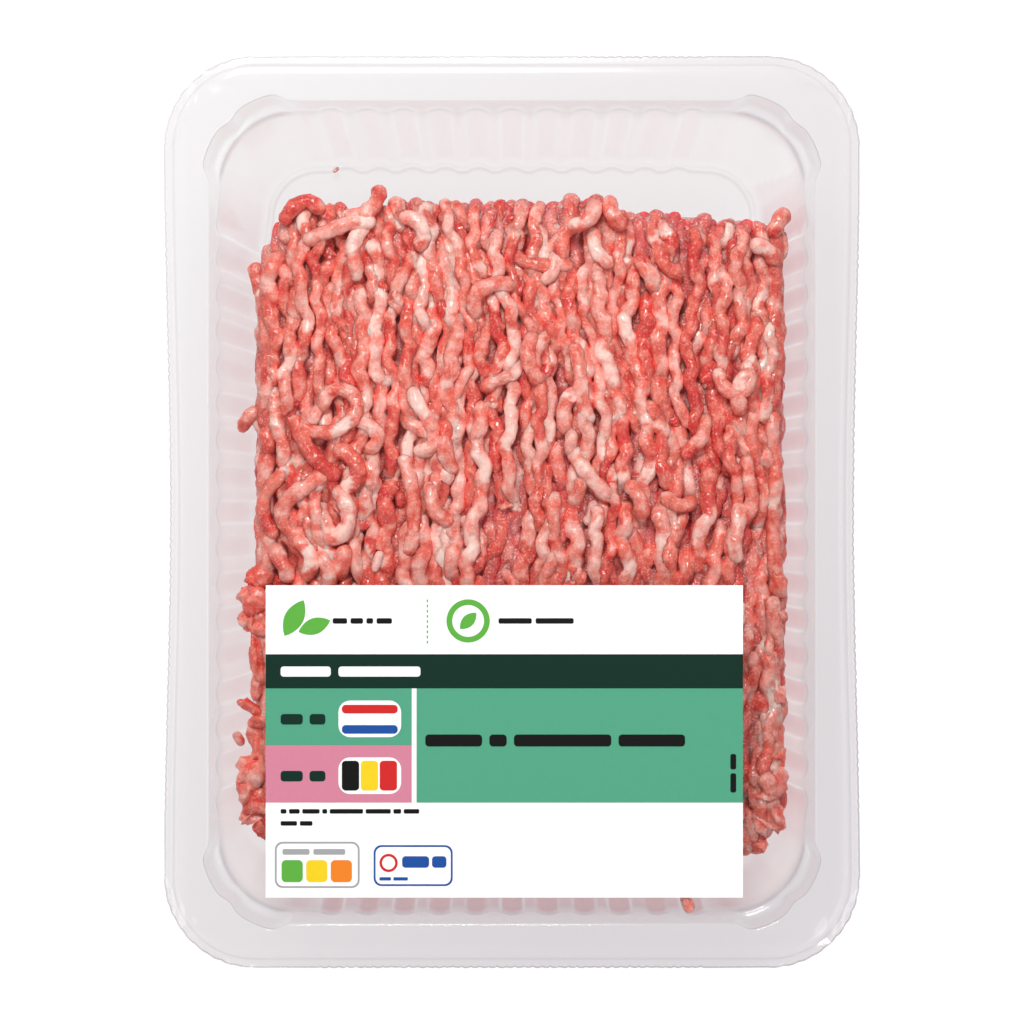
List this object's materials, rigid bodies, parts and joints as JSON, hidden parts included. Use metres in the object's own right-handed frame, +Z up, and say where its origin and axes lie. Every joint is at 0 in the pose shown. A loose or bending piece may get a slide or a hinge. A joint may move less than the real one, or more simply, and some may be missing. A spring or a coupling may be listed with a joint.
{
  "type": "minced meat tray pack",
  "caption": "Sealed clear tray pack of raw minced meat: fluted tray with a flat flange, mince in strands, lidding film and a printed label.",
  "frame": {"origin": "centre of the tray's outline, in the plane it stands on", "axes": "+Z up through the film, +Y along the tray away from the label's end, +X to the right when the label is read"},
  "size_m": [0.145, 0.19, 0.0485],
  "materials": {
    "tray_plastic": "gloss",
    "film_plastic": "gloss",
    "label_paper": "satin",
    "mince_meat": "satin"
  },
  "bodies": {
    "root": {"tray": "tray_plastic", "film": "film_plastic", "label": "label_paper", "mince": "mince_meat"}
  },
  "joints": []
}
